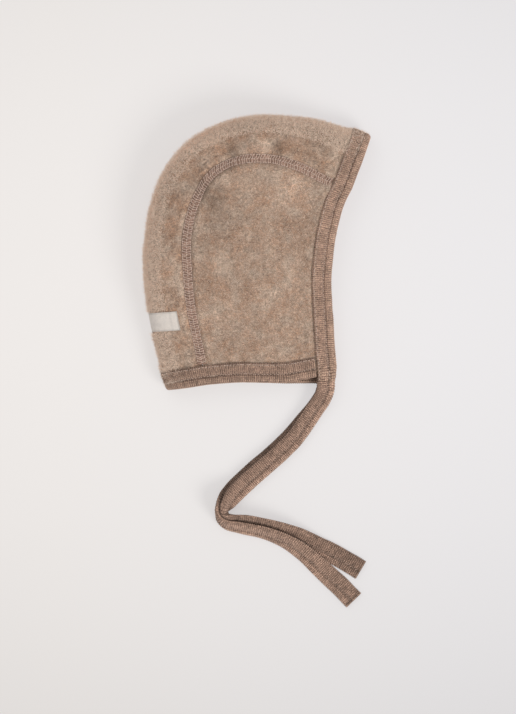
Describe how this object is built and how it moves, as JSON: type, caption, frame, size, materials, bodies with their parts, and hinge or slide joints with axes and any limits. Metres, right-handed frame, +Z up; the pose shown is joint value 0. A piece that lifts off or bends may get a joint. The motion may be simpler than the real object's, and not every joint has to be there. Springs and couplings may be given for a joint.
{
  "type": "baby bonnet",
  "caption": "Fleece baby bonnet with a centre strip, two side panels, ribbed bindings and two flat ties, lying on its side.",
  "frame": {"origin": "on the floor under the middle of the bonnet's box, its two ties left out", "axes": "+Z up from the floor, +X towards the face opening, +Y towards the crown; the wearer's left side lies on top"},
  "size_m": [0.145, 0.3149, 0.0301],
  "materials": {
    "brushed_fleece": "brushed wool fleece, mottled oatmeal brown, matt with a soft nap",
    "rib_knit": "fine rib knit tape in a darker taupe, folded and stitched flat",
    "seam_thread": "flat seam of many fine thread loops, slightly paler than the tape",
    "woven_label": "tight off-white woven ribbon, matt"
  },
  "bodies": {
    "root": {"side_panel_left": "brushed_fleece", "side_panel_right": "brushed_fleece", "centre_panel": "brushed_fleece", "crown_seam_left": "seam_thread", "crown_seam_right": "seam_thread", "face_binding": "rib_knit", "neck_binding": "rib_knit", "tie_left": "rib_knit", "tie_right": "rib_knit", "back_label": "woven_label"}
  },
  "joints": []
}
